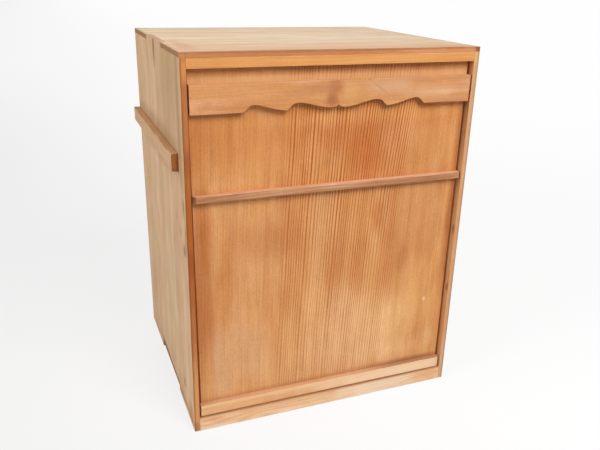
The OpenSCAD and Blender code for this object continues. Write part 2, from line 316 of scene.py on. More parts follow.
def case_share(edge):
    """Full rounding on the case's outside edges, less round the front opening, and a hairline at seams."""
    sizes = box_sizes()
    middle = middle_of(edge)
    if outer_planes(middle) >= 2:
        return 1.0
    at_opening = abs(middle.y - CASE_LOW.y) < CLOSE and abs(abs(middle.x) - INNER_X) < CLOSE
    return (sizes.inner_arris if at_opening else sizes.seam) / sizes.arris


def settle(piece, body, slot, material, *nodes):
    """Drills and smooths a shaped piece, then gives it its material and body, and hides the nodes that it stands for.
    The slot is not used.
    """
    bore(piece)
    polish(piece)
    piece.data.materials.clear()
    piece.data.materials.append(material)
    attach(piece, body)
    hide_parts(*nodes)


def paint(red, green, blue):
    """A colour given as on a screen, from 0 to 255, in the light values that shaders take."""
    def light(value):
        share = value / 255
        return share / 12.92 if share <= 0.04045 else ((share + 0.055) / 1.055) ** 2.4
    return (light(red), light(green), light(blue), 1.0)


def put(kind, inputs, output=0, tree=None, **settings):
    """Adds a shader node to a tree, or else to the one that its links come from, and gives one of its outputs."""
    links = {key: value for key, value in inputs.items() if isinstance(value, bpy.types.NodeSocket)}
    if tree is None:
        tree = next(iter(links.values())).id_data
    node = tree.nodes.new("ShaderNode" + kind)
    for key, value in settings.items():
        setattr(node, key, value)
    for key, value in inputs.items():
        if key in links:
            tree.links.new(value, node.inputs[key])
        else:
            node.inputs[key].default_value = value
    return node.outputs[output] if node.outputs else None


def split(arrow):
    """The three parts of an arrow, by number or by name."""
    return put("SeparateXYZ", {0: arrow}).node.outputs


def maths(operation, *values):
    """The result of one sum, whose values are numbers or links."""
    return put("Math", dict(enumerate(values)), operation=operation)


def times(first, second):
    return maths("MULTIPLY", first, second)


def plus(first, second):
    return maths("ADD", first, second)


def minus(first, second):
    return maths("SUBTRACT", first, second)


def length(arrow):
    return put("VectorMath", {0: arrow}, "Value", operation="LENGTH")


def arrow_of(*parts):
    return put("CombineXYZ", dict(enumerate(parts)))


def fresh_tree(owner):
    """The emptied shader of a new material or world."""
    owner.use_nodes = True
    owner.node_tree.nodes.clear()
    return owner.node_tree


def fade(value, start, end, low=0.0, high=1.0):
    """Turns a value smoothly from low to high as it goes from start to end."""
    inputs = {"Value": value, "From Min": start, "From Max": end, "To Min": low, "To Max": high}
    return put("MapRange", inputs, interpolation_type="SMOOTHSTEP")


def mix(amount, first, second, how="MIX"):
    return put("Mix", {0: amount, 6: first, 7: second}, 2, data_type="RGBA", blend_type=how)


def cloud(place, size, detail=2.0, shift=0.0):
    """Soft noise from 0 to 1 whose lumps have the given size in metres across, deep and along the grain."""
    inputs = {"Vector": place, "Scale": [1 / s for s in size], "Location": (shift, shift * 0.7, shift * 1.3)}
    mapped = put("Mapping", inputs)
    return put("TexNoise", {"Vector": mapped, "Scale": 1.0, "Detail": detail, "Roughness": 0.55})


@dataclass
class StainOrShading:
    """A soft oval patch of another tone in one plane, with its place and size in millimetres. Some patches are real
    stains and marks, others painted light and shade.
    """

    plane: str
    across: float
    up: float
    wide: float
    tall: float
    colour: tuple
    strength: float = 0.5
    ragged: float = 0.35
    slope: float = 0.0


@dataclass
class Facing:
    """The tone of the faces or edges that look one way: those that the sun has bleached, and painted light and shade
    on some faces that look up or down.
    """

    toward: Vector
    pale: tuple
    line: tuple
    share: float = 1.0
    only_front: bool = False


@dataclass
class Timber:
    """How a board was cut from its log, how its figure reads, how it has aged, and the light and shade painted on some
    of its faces.
    """

    name: str
    pale: tuple
    line: tuple
    along: str = "Z"
    pith: tuple = (-0.9, 0.0)
    ring: float = 4.6 * MM
    ring_spread: float = 0.9
    late_from: float = 0.25
    fickle: float = 0.5
    sway: float = 5 * MM
    sway_size: tuple = (0.16, 0.34)
    lean: float = 0.0
    spread: float = 0.0
    bends: tuple = ()
    figure: float = 0.5
    lined: tuple = None
    faint: float = 0.25
    fading: tuple = None
    warm: tuple = None
    warm_share: float = 0.35
    cool: tuple = None
    cool_share: float = 0.2
    band: float = 0.10
    band_width: float = 11 * MM
    blotch: float = 0.12
    fibre: float = 0.10
    mottle: float = 0.07
    facings: tuple = ()
    end: tuple = (150, 102, 64)
    shift: float = 0.0
    worn: tuple = (236, 200, 158)
    worn_share: float = 0.45
    soiled: tuple = (120, 76, 44)
    soiled_share: float = 0.45
    # Rows of stains and of painted light and shade, first those between the grain lines, then those over them too
    grounds_and_shading: tuple = ()
    stains_and_shading: tuple = ()


# Which way is across a board, deep in it and along its grain, by the way that its grain runs
ORDER = {"X": ("Y", "Z", "X"), "Y": ("X", "Z", "Y"), "Z": ("X", "Y", "Z")}
# The axis that a face looks along when a stain's plane runs along it
LOOKS_ALONG = {"YZ": "X", "XZ": "Y", "XY": "Z"}
# How far behind the front a facing that is only for the front still shows
FRONT_DEPTH = 0.02
# How squarely a face has to look its way, from none of a facing's tone up to all of it
FACING_TURN = (0.45, 0.8)
ROUGHNESS = 0.62
# Noises of a board: the size of their lumps across, deep and along the grain, their detail and their shift
CLEAR = ((0.02, 0.02, 0.12), 3.0, 5.5)
WARM = ((0.05, 0.05, 0.24), 3.0, 1.7)
COOL = ((0.03, 0.03, 0.18), 3.0, 6.3)
BLOTCH = ((0.030, 0.030, 0.07), 4.0, 14.2)
STREAK = ((0.0022, 0.0022, 0.09), 3.0, 2.2)
FIBRE = ((0.0005, 0.0005, 0.016), 2.0, 4.4)
MOTTLE = ((0.0022, 0.0022, 0.004), 3.0, 16.8)
PORES = ((0.0012, 0.0012, 0.0012), 2.0, 7.9)
RUBBED = ((0.010, 0.010, 0.035), 3.0, 9.3)
# How much more of a dark tone red, green and blue take on
TONE_DEPTHS = (0.72, 1.15, 1.8)


def centred(value, amount):
    """Noise from 0 to 1 made a shift to both sides of nothing."""
    return times(minus(value, 0.5), amount)


def oval(place, axes, middle, size, slope=0.0):
    """How far a place is from the middle of an oval, 1 at its rim; a slope tilts the oval's length."""
    parts = split(place)
    along, up = (minus(parts[name], centre) for name, centre in zip(axes, middle))
    if slope:
        up = minus(up, times(along, slope))
    return length(arrow_of(maths("DIVIDE", along, size[0]), maths("DIVIDE", up, size[1]), 0.0))


def growth_lines(look, place, log):
    """The dark late wood of each year as a value from 0 to 1, and how far across the log a place lies."""
    across, deep, along = split(log)
    wide, long = look.sway_size
    sway = cloud(log, (wide, wide, long), 1.0, look.shift + 3.1)
    ripple = cloud(log, (wide / 3, wide / 3, long / 3), 1.0, look.shift + 8.7)
    moved = plus(across, centred(sway, look.sway * 4))
    moved = plus(moved, centred(ripple, look.sway * 0.5))
    slope = times(along, look.lean)
    if look.spread:
        curve = times(times(along, along), look.spread)
        slope = plus(slope, times(curve, plus(across, 0.08)))
    moved = minus(moved, slope)
    for axes, middle, size, push in look.bends:
        near = fade(oval(place, axes, middle, size), 0.0, 1.3, push, 0.0)
        deep = plus(deep, near)
    radius = length(arrow_of(minus(moved, look.pith[0]), minus(deep, look.pith[1]), 0.0))
    years = put("TexNoise", {"W": times(radius, 34.0), "Scale": 1.0, "Detail": 1.0}, noise_dimensions="1D")
    count = plus(maths("DIVIDE", radius, look.ring), times(years, look.ring_spread * 4))
    ring = maths("FRACT", count)
    late = times(fade(ring, look.late_from, 0.82), fade(ring, 0.88, 1.0, 1.0, 0.0))
    year = put("TexWhiteNoise", {"W": maths("FLOOR", count)}, noise_dimensions="1D")
    late = times(late, plus(times(year, look.fickle), 1 - look.fickle))
    size, detail, shift = CLEAR
    clear = cloud(log, size, detail, look.shift + shift)
    late = times(late, fade(clear, 0.35, 0.6, 1 - look.fickle, 1.0))
    return late, moved


def timber(look):
    """A solid wood material: growth rings about a pith, fibres, broad tones, end grain, worn edges, and the painted
    light and shade that its facings and stains carry.
    """
    material = bpy.data.materials.new(look.name)
    tree = fresh_tree(material)
    place = put("TexCoord", {}, "Object", tree)
    parts = split(place)
    across, deep, along = (parts[name] for name in ORDER[look.along])
    log = arrow_of(across, deep, along)
    facing = put("NewGeometry", {}, "Normal", tree)
    turned = split(facing)

    def lumps(size, detail, shift):
        return cloud(log, size, detail, look.shift + shift)

    late, moved = growth_lines(look, place, log)
    if look.lined:
        start, end, soft = look.lined
        inside = times(fade(moved, start - soft / 2, start + soft / 2), fade(moved, end - soft, end + soft, 1.0, 0.0))
        late = times(late, maths("MAXIMUM", inside, look.faint))
    if look.fading:
        late = times(late, fade(along, *look.fading, 1.0))

    pale, line = paint(*look.pale), paint(*look.line)
    if look.warm:
        pale = mix(times(fade(lumps(*WARM), 0.42, 0.66), look.warm_share), pale, paint(*look.warm))
    if look.cool:
        pale = mix(times(fade(lumps(*COOL), 0.45, 0.68), look.cool_share), pale, paint(*look.cool))
    for number, row in enumerate(look.grounds_and_shading):
        pale = lay_stain_or_shading(pale, place, turned, StainOrShading(*row), look.shift + number)
    for view in look.facings:
        same = put("VectorMath", {0: facing, 1: view.toward}, "Value", operation="DOT_PRODUCT")
        shown = fade(same, *FACING_TURN, 0.0, view.share)
        if view.only_front:
            front = fade(parts["Y"], CASE_LOW.y + FRONT_DEPTH, CASE_LOW.y + FRONT_DEPTH / 2)
            shown = times(shown, front)
        pale = mix(shown, pale, paint(*view.pale))
        line = mix(shown, line, paint(*view.line))
    colour = mix(times(late, look.figure), pale, line)

    band = lumps((look.band_width, look.band_width, 0.30), 2.0, 12.6)
    streak, fibres = fade(lumps(*STREAK), 0.3, 0.7), fade(lumps(*FIBRE), 0.25, 0.75)
    tone = plus(centred(band, look.band * 2), centred(lumps(*BLOTCH), look.blotch * 2))
    tone = plus(tone, centred(streak, -look.fibre))
    tone = plus(tone, centred(fibres, -look.fibre * 0.7))
    tone = plus(tone, centred(fade(lumps(*MOTTLE), 0.3, 0.7), look.mottle))
    depths = [maths("MULTIPLY_ADD", tone, depth, 1.0) for depth in TONE_DEPTHS]
    colour = mix(1.0, colour, arrow_of(*depths), "MULTIPLY")

    ends = fade(maths("ABSOLUTE", turned[look.along]), 0.82, 0.97)
    end, end_line, end_pore = (paint(*[value * dimmed for value in look.end]) for dimmed in (1.0, 0.75, 0.7))
    end_colour = mix(times(late, 0.3), end, end_line)
    end_colour = mix(fade(lumps(*PORES), 0.4, 0.75, 0.0, 0.3), end_colour, end_pore)
    colour = mix(ends, colour, end_colour)
    for number, row in enumerate(look.stains_and_shading, len(look.grounds_and_shading)):
        colour = lay_stain_or_shading(colour, place, turned, StainOrShading(*row), look.shift + number)

    turns = [maths("ABSOLUTE", turned[name]) for name in "XYZ"]
    flatness = maths("MAXIMUM", maths("MAXIMUM", turns[0], turns[1]), turns[2])
    arris = fade(flatness, 0.74, 0.99, 1.0, 0.0)
    rubbed = fade(lumps(*RUBBED), 0.45, 0.62)
    light_wear = times(times(arris, rubbed), look.worn_share)
    dark_wear = times(times(arris, minus(1.0, rubbed)), look.soiled_share)
    colour = mix(light_wear, colour, paint(*look.worn))
    colour = mix(dark_wear, colour, paint(*look.soiled))

    height = plus(times(late, 0.7), times(fibres, 0.3))
    bump = put("Bump", {"Strength": 0.28, "Distance": 0.15 * MM, "Height": height})
    shader = put("BsdfPrincipled", {
        "Base Color": colour, "Roughness": plus(times(streak, 0.12), ROUGHNESS), "Normal": bump,
        "Specular IOR Level": 0.3,
    })
    put("OutputMaterial", {"Surface": shader})
    return material


def lay_stain_or_shading(colour, place, turned, stain_or_shade, shift):
    """Lays one soft oval patch over a colour, on the faces that its plane runs along."""
    size = (stain_or_shade.wide * MM, stain_or_shade.tall * MM)
    narrow = min(size)
    far = oval(place, stain_or_shade.plane, (stain_or_shade.across * MM, stain_or_shade.up * MM), size, stain_or_shade.slope)
    lumps = [narrow, narrow, narrow * 2]
    for name, long in zip(stain_or_shade.plane, size):
        if long > narrow * 8:
            lumps["XYZ".index(name)] = narrow * 7
    torn = cloud(place, lumps, 3.0, shift + 11.0)
    far = plus(far, centred(torn, stain_or_shade.ragged * 2))
    amount = fade(far, 0.2, 1.15, stain_or_shade.strength, 0.0)
    square_on = fade(maths("ABSOLUTE", turned[LOOKS_ALONG[stain_or_shade.plane]]), 0.6, 0.85)
    return mix(times(amount, square_on), colour, paint(*stain_or_shade.colour))


def wall_timber(side, shift, pith, stains_and_shading):
    """A wall: sun-faded outside, honey brown inside, and deeper orange on the left front edge."""
    tones = ((178, 100, 42), (120, 54, 16)) if side < 0 else ((222, 173, 130), (182, 118, 72))
    front = Facing(FORWARD, *tones, 0.95, only_front=True)
    return timber(Timber(
        name=f"wall_cedar_{shift:.0f}", pale=(214, 158, 108), line=(168, 116, 74), warm=(200, 138, 96), warm_share=0.3,
        cool=(206, 172, 122), cool_share=0.3, figure=0.30, ring=5.2 * MM, pith=pith, shift=shift, sway=6 * MM,
        band=0.24, band_width=32 * MM, blotch=0.26, fibre=0.08, fading=(0.15, 0.50, 0.45), end=(210, 174, 136),
        worn=(214, 152, 112), worn_share=0.55, soiled=(160, 102, 64), soiled_share=0.6,
        facings=(Facing(RIGHT * side, (215, 180, 142), (184, 146, 106), 0.9), front), stains_and_shading=stains_and_shading,
    ))


# Stains and painted shade, each a row of plane, place, size, colour, strength, raggedness and slope
# Painted shade on the walls just above and just below each carry batten
CARRY_PAINTED_SHADE = (
    ("YZ", 0, 466, 260, 20, (166, 128, 90), 0.5, 0.3),
    ("YZ", 0, 428, 260, 24, (172, 136, 100), 0.5, 0.3),
)
SEAM_SHADE = ("YZ", 2, 590, 14, 34, (142, 106, 74), 0.8, 0.3)
FINGER_SHADE = ("XY", -232.5, 0, 8.5, 90, (176, 136, 102), 0.5, 0.8)
SIDE_MARKS_AND_SHADING = (
    ("YZ", -187, 385, 9, 20, (124, 96, 60), 0.7, 0.9),
    ("YZ", -135, 354, 10, 14, (154, 124, 86), 0.5, 0.9),
    ("YZ", -158, 336, 10, 14, (144, 114, 76), 0.55, 0.9),
    ("YZ", -182, 317, 10, 14, (120, 90, 56), 0.75, 0.9),
    ("YZ", -133, 52, 9, 13, (158, 112, 72), 0.6, 0.7),
    ("YZ", -178, 530, 14, 190, (160, 128, 90), 0.6),
    ("YZ", -196, 340, 7, 50, (132, 104, 68), 0.6),
    ("XZ", -230.5, 584, 20, 24, (228, 154, 88), 0.7),
    FINGER_SHADE,
    ("XZ", -230.5, 345, 20, 120, (176, 90, 26), 0.7),
    ("XZ", -230.5, 510, 20, 110, (186, 122, 72), 0.4),
    ("XZ", -230.5, 455, 20, 30, (156, 84, 42), 0.7),
    ("XZ", -230.5, 300, 20, 30, (158, 76, 26), 0.7),
    ("XZ", -230.5, 180, 20, 50, (182, 112, 66), 0.5),
    ("XZ", -230.5, 30, 20, 150, (226, 160, 104), 0.8),
    ("XZ", -233.5, 8, 9, 16, (160, 114, 88), 0.65),
    ("YZ", -180, 20, 30, 30, (196, 128, 76), 0.5),
    ("YZ", -110, 540, 120, 120, (172, 138, 96), 0.5),
    SEAM_SHADE,
    *CARRY_PAINTED_SHADE,
    ("YZ", -120, 13, 120, 4, (140, 98, 62), 0.7),
    ("YZ", -140, 330, 50, 140, (206, 158, 122), 0.45),
    ("YZ", -60, 200, 40, 160, (208, 184, 138), 0.45),
    ("XZ", -235.6, 300, 2.8, 900, (132, 70, 28), 0.65, 0.3),
)
RIGHT_MARKS_AND_SHADING = (
    *CARRY_PAINTED_SHADE,
    ("YZ", -197, 500, 20, 90, (150, 112, 70), 0.5),
    ("YZ", -197, 300, 4, 12, (120, 78, 48), 0.7, 0.5),
    ("YZ", -199, 190, 6, 10, (136, 84, 50), 0.6, 0.5),
    ("XZ", 231.5, 590, 4, 18, (236, 182, 100), 0.6),
    ("XZ", 229, 300, 3.6, 320, (222, 148, 86), 0.6, 0.4),
    ("XZ", 235.5, 300, 4.2, 900, (164, 126, 94), 0.65, 0.3),
)
SEAM_MARKS_AND_SHADING = (
    SEAM_SHADE,
    *CARRY_PAINTED_SHADE,
    ("YZ", 1, 300, 2, 320, (170, 134, 98), 0.4, 0.1),
    ("YZ", 50, 22, 70, 4, (120, 82, 52), 0.75),
    FINGER_SHADE,
)


def top_timber(shift):
    return timber(Timber(
        name=f"top_cedar_{shift:.0f}", along="X", figure=0.30, ring=6 * MM, pith=(-0.5, 0.4), shift=shift,
        pale=(226, 200, 168), line=(202, 163, 124), warm=(218, 180, 142), warm_share=0.5, cool=(236, 217, 190),
        cool_share=0.4, band=0.12, blotch=0.18, fibre=0.18, end=(166, 124, 86), worn=(222, 164, 118), worn_share=0.5,
        soiled=(138, 90, 58), soiled_share=0.8,
        facings=[Facing(FORWARD, (200, 126, 76), (156, 84, 44), 0.95)],
        stains_and_shading=[
            ("XY", 0, -205, 600, 130, (206, 156, 114), 0.6),
            ("XY", -215, -120, 18, 90, (196, 146, 116), 0.5, 0.6),
            ("XY", -226, 195, 18, 10, (146, 118, 98), 0.7, 0.5),
            ("XZ", -120, 601, 170, 7, (190, 124, 76), 0.6, 0.5),
            ("XZ", 170, 601, 120, 7, (222, 152, 106), 0.6, 0.5),
            ("XZ", 0, 605.2, 500, 2.6, (158, 104, 66), 0.6, 0.9),
            ("XY", 0, -201.2, 500, 4.4, (166, 118, 80), 0.8, 0.9),
            ("XY", -110, -203, 170, 15, (170, 120, 84), 0.75, 0.5),
            ("XY", -235.2, -130, 4.5, 85, (176, 136, 104), 0.5, 0.7),
            ("XY", -235.2, 140, 4.5, 80, (176, 136, 104), 0.5, 0.7),
            ("XY", 235.2, 0, 4, 220, (150, 108, 76), 0.6, 0.6),
            ("XZ", 233, 602, 6, 7, (128, 78, 40), 0.75, 0.4),
            ("YZ", -70, 602, 6, 6, (110, 78, 50), 0.7),
            ("YZ", 69, 602, 6, 6, (110, 78, 50), 0.6),
        ],
    ))


# The lid's broad tones, with some painted light and shade among them, which all lie in its face
LID_GROUNDS_AND_SHADING = (
    (0, 500, 500, 110, (202, 122, 58), 0.6),
    # Painted shade under the rail, and painted light lower on the recessed strip above the pull board
    (0, 584, 500, 9, (178, 116, 68), 0.6),
    (0, 566, 500, 9, (230, 172, 120), 0.6),
    # Painted light just under the pull board, which softens its shadow
    (30, 506, 180, 18, (232, 166, 100), 0.6),
    (-218, 250, 30, 170, (182, 102, 52), 0.7),
    (55, 447, 50, 52, (197, 107, 49), 0.6),
    (30, 480, 120, 30, (196, 112, 58), 0.35),
    (115, 470, 60, 45, (234, 174, 118), 0.4),
    (134, 262, 16, 40, (184, 104, 54), 0.5),
    (-105, 320, 60, 45, (190, 112, 60), 0.5),
    (-125, 300, 90, 130, (208, 140, 88), 0.3),
    (222, 330, 12, 260, (176, 104, 56), 0.8),
    (150, 330, 60, 140, (206, 136, 84), 0.5),
    (-190, 110, 14, 100, (224, 172, 134), 0.5),
    (-207, 345, 15, 90, (192, 106, 46), 0.55),
    (113, 140, 70, 70, (246, 192, 132), 0.75),
    # Painted light bounced from the floor, low in the middle
    (20, 130, 110, 100, (249, 197, 143), 0.6),
    (-150, 130, 60, 90, (226, 172, 126), 0.6),
    # Lighter towards the bottom: partly the wood's own tone, partly painted light bounced from the floor
    (0, 30, 300, 100, (230, 176, 124), 0.45),
    (-36, 462, 22, 40, (240, 176, 114), 0.45),
    (-86, 385, 15, 60, (194, 116, 60), 0.45),
    (81, 340, 16, 40, (194, 108, 48), 0.5),
    (200, 385, 12, 60, (202, 128, 76), 0.4),
    (105, 78, 80, 28, (250, 196, 142), 0.55),
    (200, 92, 13, 35, (240, 190, 140), 0.45),
)
LID_STAINS_AND_SHADING = (
    ("XZ", 185, 170, 4, 5, (244, 206, 160), 0.8),
    # Over the recessed strip: a flatter tone, then painted light just above the pull board and painted shade just
    # under the rail
    ("XZ", 0, 572, 500, 17, (188, 134, 90), 0.35, 0.1),
    ("XZ", 0, 566, 500, 8, (236, 184, 124), 0.4, 0.1),
    ("XZ", 0, 588, 500, 8, (150, 90, 48), 0.5, 0.1),
    # Painted shade on the lid just above the base batten, deeper at the right
    ("XZ", 0, 44, 500, 13, (184, 122, 80), 0.55, 0.15),
    ("XZ", 170, 47, 100, 10, (158, 102, 68), 0.6, 0.2),
    ("XZ", -12, 437, 8, 11, (172, 120, 76), 0.35, 0.3),
)

# One timber for the lid's three boards, whose figure runs across their seams
LID = Timber(
    name="lid_cedar", pale=(224, 160, 97), line=(166, 74, 14), figure=1.0, ring=4.5 * MM, ring_spread=0.5,
    pith=(-1.2, -0.19), lean=0.043, spread=0.25, sway=2.2 * MM, lined=(-0.098, 0.100, 0.018), faint=0.18,
    fading=(0.10, 0.45, 0.6), late_from=0.38, fickle=0.35, warm=(204, 126, 70), warm_share=0.5,
    cool=(228, 174, 124), cool_share=0.4, shift=71.0, band=0.20, blotch=0.22, mottle=0.12, end=(150, 92, 52),
    soiled_share=0.6, grounds_and_shading=[("XZ", *row) for row in LID_GROUNDS_AND_SHADING], stains_and_shading=LID_STAINS_AND_SHADING,
)

RAIL = Timber(
    name="rail_cedar", along="X", pale=(225, 158, 91), line=(204, 131, 66), figure=0.35, ring=3.4 * MM,
    pith=(-0.24, 0.55), sway=7 * MM, warm=(206, 134, 76), warm_share=0.6, shift=21.0, blotch=0.2,
    end=(150, 96, 52),
)

SILL = Timber(
    name="sill_cedar", along="X", pale=(248, 206, 162), line=(222, 148, 96), ring=2.6 * MM,
    pith=(-0.17, 0.004), sway=7 * MM, sway_size=(0.06, 0.30), warm=(228, 160, 106), warm_share=0.6,
    cool=(244, 214, 176), cool_share=0.6, shift=24.0, band=0.12, blotch=0.2, end=(150, 100, 60), fickle=0.7,
    # The dark worn tone is partly painted shade, keeping the top arris dark in the gap under the base batten
    worn=(190, 136, 94), soiled=(140, 90, 56), soiled_share=0.8,
    # Painted shade on the top face, in that gap
    facings=[Facing(UP, (198, 138, 88), (164, 110, 68), 0.9)],
    stains_and_shading=[
        ("XZ", -205, 18, 22, 6, (226, 150, 112), 0.6),
        ("XZ", -205, 4, 26, 6, (238, 214, 196), 0.6),
        ("XZ", 90, 12, 100, 30, (255, 230, 206), 0.6),
        ("XZ", 205, 12, 40, 24, (236, 168, 112), 0.6),
        # Painted shadow along the top edge, under the base batten
        ("XZ", 0, 25.2, 500, 3, (168, 116, 76), 0.7, 0.0),
    ],
)

PULL_BOARD = Timber(
    name="pull_board_cedar", along="X", pale=(214, 150, 93), line=(194, 120, 66), figure=0.38, ring=2.6 * MM,
    pith=(-0.26, 0.80), warm=(206, 136, 84), warm_share=0.5, cool=(230, 172, 132), cool_share=0.6,
    shift=31.0, blotch=0.16, fickle=0.8, mottle=0.10, end=(190, 86, 28), soiled=(136, 74, 44),
    facings=[
        # Painted shade on the underside
        Facing(DOWN, (150, 84, 48), (120, 64, 34), 0.7),
        # Painted highlight on the top face and edge
        Facing(UP, (204, 160, 118), (180, 130, 88), 0.95),
    ],
    worn=(210, 158, 112), worn_share=0.4,
    bends=[
        ("XZ", (-0.010, 0.545), (0.022, 0.060), 0.024),
        ("XZ", (0.052, 0.566), (0.030, 0.034), -0.010),
    ],
    stains_and_shading=[
        ("XZ", 18, 546, 22, 24, (228, 174, 120), 0.35, 0.6),
        ("XZ", -13, 535, 13, 15, (164, 92, 56), 0.7, 0.5),
        ("XZ", -8, 554, 17, 16, (172, 102, 66), 0.6, 0.5),
        ("XZ", -36, 552, 36, 11, (186, 120, 80), 0.5, 0.5),
        ("XZ", -66, 545, 34, 8, (194, 130, 88), 0.4, 0.5),
        ("XZ", 85, 552, 60, 18, (220, 174, 140), 0.5),
        ("XZ", 150, 540, 60, 12, (225, 174, 138), 0.5),
        ("XZ", 150, 560, 80, 5, (200, 138, 100), 0.5),
        ("XZ", 190, 540, 60, 5, (240, 188, 146), 0.5, 0.4),
        ("XZ", 190, 525.5, 50, 4, (206, 138, 108), 0.5, 0.4),
        ("XZ", 208, 542, 22, 30, (190, 136, 98), 0.2),
        # Painted shadow along the lower edge at the right
        ("XZ", 165, 522.2, 70, 1.6, (150, 86, 58), 0.7, 0.2),
        ("XZ", NICK_X / MM, 562.5, 2.2, 1.8, (104, 56, 34), 0.95, 0.1),
        ("XZ", NICK_X / MM + 19, 548.5, 21, 2.4, (186, 128, 88), 0.4, 0.25, -0.72),
        ("XZ", -203, 533, 14, 9, (196, 130, 80), 0.4, 0.8, 0.5),
        ("XZ", -120, 520, 60, 10, (196, 128, 78), 0.5),
    ],
)

MIDDLE_BATTEN = Timber(
    name="middle_batten_cedar", along="X", pale=(187, 132, 91), line=(148, 95, 60), figure=0.55, ring=3.2 * MM,
    warm=(180, 118, 82), warm_share=0.55, cool=(220, 168, 126), cool_share=0.5, shift=41.0, band=0.2,
    # Painted light on the top face
    blotch=0.3, end=(172, 118, 84), facings=[Facing(UP, (216, 166, 134), (184, 132, 102), 0.9)],
    worn=(226, 186, 150),
)

BASE_BATTEN = Timber(
    name="base_batten_cedar", along="X", pale=(242, 186, 135), line=(218, 148, 94), ring=4.4 * MM,
    warm=(228, 164, 112), warm_share=0.4, cool=(244, 204, 162), cool_share=0.5, shift=44.0, end=(222, 196, 168),
    blotch=0.14, facings=[Facing(UP, (206, 158, 116), (188, 134, 92), 0.9)],
    stains_and_shading=[
        ("XZ", 130, 36, 220, 30, (255, 219, 181), 0.8),
        # Painted highlight along the top of the face, painted shadow along its lower edge, and painted shade on the
        # top face at the right
        ("XZ", 0, 45, 500, 6, (250, 208, 160), 0.6, 0.2),
        ("XZ", 0, 26, 500, 3, (170, 120, 80), 0.7, 0.0),
        ("XY", 170, -197, 110, 20, (150, 104, 76), 0.6, 0.2),
    ],
)

CARRY_BATTEN = Timber(
    name="carry_batten_cedar", along="Y", pale=(214, 178, 139), line=(184, 138, 102), figure=0.45, ring=4 * MM,
    warm=(200, 152, 116), warm_share=0.4, cool=(218, 186, 150), cool_share=0.3, shift=51.0, end=(192, 122, 68),
    facings=[Facing(UP, (208, 160, 116), (166, 118, 80), 0.95)], worn=(196, 146, 104), worn_share=0.4,
    soiled=(138, 86, 54), soiled_share=0.8,
    stains_and_shading=[
        ("XY", -237.4, 17, 1.6, 400, (146, 96, 62), 0.45, 0.1),
        ("XY", 237.4, 17, 1.6, 400, (146, 96, 62), 0.45, 0.1),
        ("XY", -245.5, 190, 6, 12, (128, 92, 64), 0.7),
        ("XZ", -236.8, 448, 3.6, 50, (138, 80, 32), 0.85, 0.2),
        ("XZ", -246.5, 448, 2.6, 50, (160, 96, 54), 0.8, 0.2),
        ("XZ", -242, 436, 8, 4, (150, 92, 48), 0.6, 0.4),
    ],
)


def plain_timber(name, along, shift, pale=(222, 172, 116)):
    """Boards that stay out of the light: the back, the bottom and the strips behind the lid."""
    return timber(Timber(
        name=name, along=along, pale=pale, line=(182, 118, 66), figure=0.6, ring=5 * MM, shift=shift,
        warm=(206, 146, 90), warm_share=0.4, cool=(228, 186, 136), cool_share=0.4, band=0.2, blotch=0.14,
    ))


def peg_timber():
    """The ends of the pegs, a little darker than the boards round them."""
    material = bpy.data.materials.new("peg_wood")
    tree = fresh_tree(material)
    place = put("TexCoord", {}, "Object", tree)
    grain = fade(cloud(place, (0.0006, 0.0006, 0.0006), 2.0, 61.0), 0.3, 0.7)
    colour = mix(grain, paint(190, 148, 104), paint(156, 112, 72))
    bump = put("Bump", {"Strength": 0.3, "Distance": 0.1 * MM, "Height": grain})
    shader = put("BsdfPrincipled", {"Base Color": colour, "Roughness": 0.65, "Normal": bump})
    put("OutputMaterial", {"Surface": shader})
    return material


def wall_board(name, node, material, slot):
    """A board of a side wall: its foot and finger are pulled out of the main block."""
    low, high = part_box(node)
    piece = start_block(name, Vector((low.x, low.y, BOTTOM_OVER)), Vector((high.x, high.y, TOP_UNDER)))
    finger, foot = reach(node, Z, high.z, Y), reach(node, Z, low.z, Y)
    with editing():
        for line in (*finger, *foot):
            if low.y + CLOSE < line < high.y - CLOSE:
                cut((0, line, 0), REARWARD)
        grow(piece, UP, lambda middle: finger[0] < middle.y < finger[1], high.z - TOP_UNDER)
        grow(piece, DOWN, lambda middle: foot[0] < middle.y < foot[1], BOTTOM_OVER - low.z)
        chop(piece, Z)
        chop(piece, Y, CROSS_CUTS)
    ease_edges(piece, box_sizes().arris, case_share)
    settle(piece, "case", slot, material, node)


def tongued_board(name, node, material, slot, radius, share):
    """A board of the top or bottom: its tongues are pulled out of its two ends."""
    low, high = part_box(node)
    start, end = reach(node, X, high.x, Y)
    piece = start_block(name, Vector((-INNER_X, low.y, low.z)), Vector((INNER_X, high.y, high.z)))
    with editing():
        for line in (start, end):
            if low.y + CLOSE < line < high.y - CLOSE:
                cut((0, line, 0), REARWARD)
        for direction in (LEFT, RIGHT):
            grow(piece, direction, lambda middle: start < middle.y < end, high.x - INNER_X)
        chop(piece, X)
        chop(piece, Y, CROSS_CUTS)
    ease_edges(piece, radius, share)
    settle(piece, "case", slot, material, node)


def plain_board(name, node, body, material, slot, share=case_share, along=Z, radius=None, segments=3):
    """A straight board or strip with its edges taken off."""
    piece = start_block(name, *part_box(node))
    with editing():
        chop(piece, along)
    ease_edges(piece, radius or box_sizes().arris, share, segments)
    settle(piece, body, slot, material, node)


class BOX_OT_walls(bpy.types.Operator):
    """Models the two side walls, each of two boards"""

    bl_idname = "cedar_box.walls"
    bl_label = "Side Walls"

    def execute(self, context):
        for number, (word, side) in enumerate((("left", -1), ("right", 1))):
            front = wall_timber(side, 1.0 + number * 4, (-0.24, -0.31), SIDE_MARKS_AND_SHADING if side < 0 else RIGHT_MARKS_AND_SHADING)
            rear = wall_timber(side, 2.0 + number * 4, (0.26, 0.34), SEAM_MARKS_AND_SHADING)
            wall_board(f"{word}_wall_front", f"{word}_side_front_board", front, "side_wood")
            wall_board(f"{word}_wall_rear", f"{word}_side_rear_board", rear, "side_wood_rear")
        return {"FINISHED"}


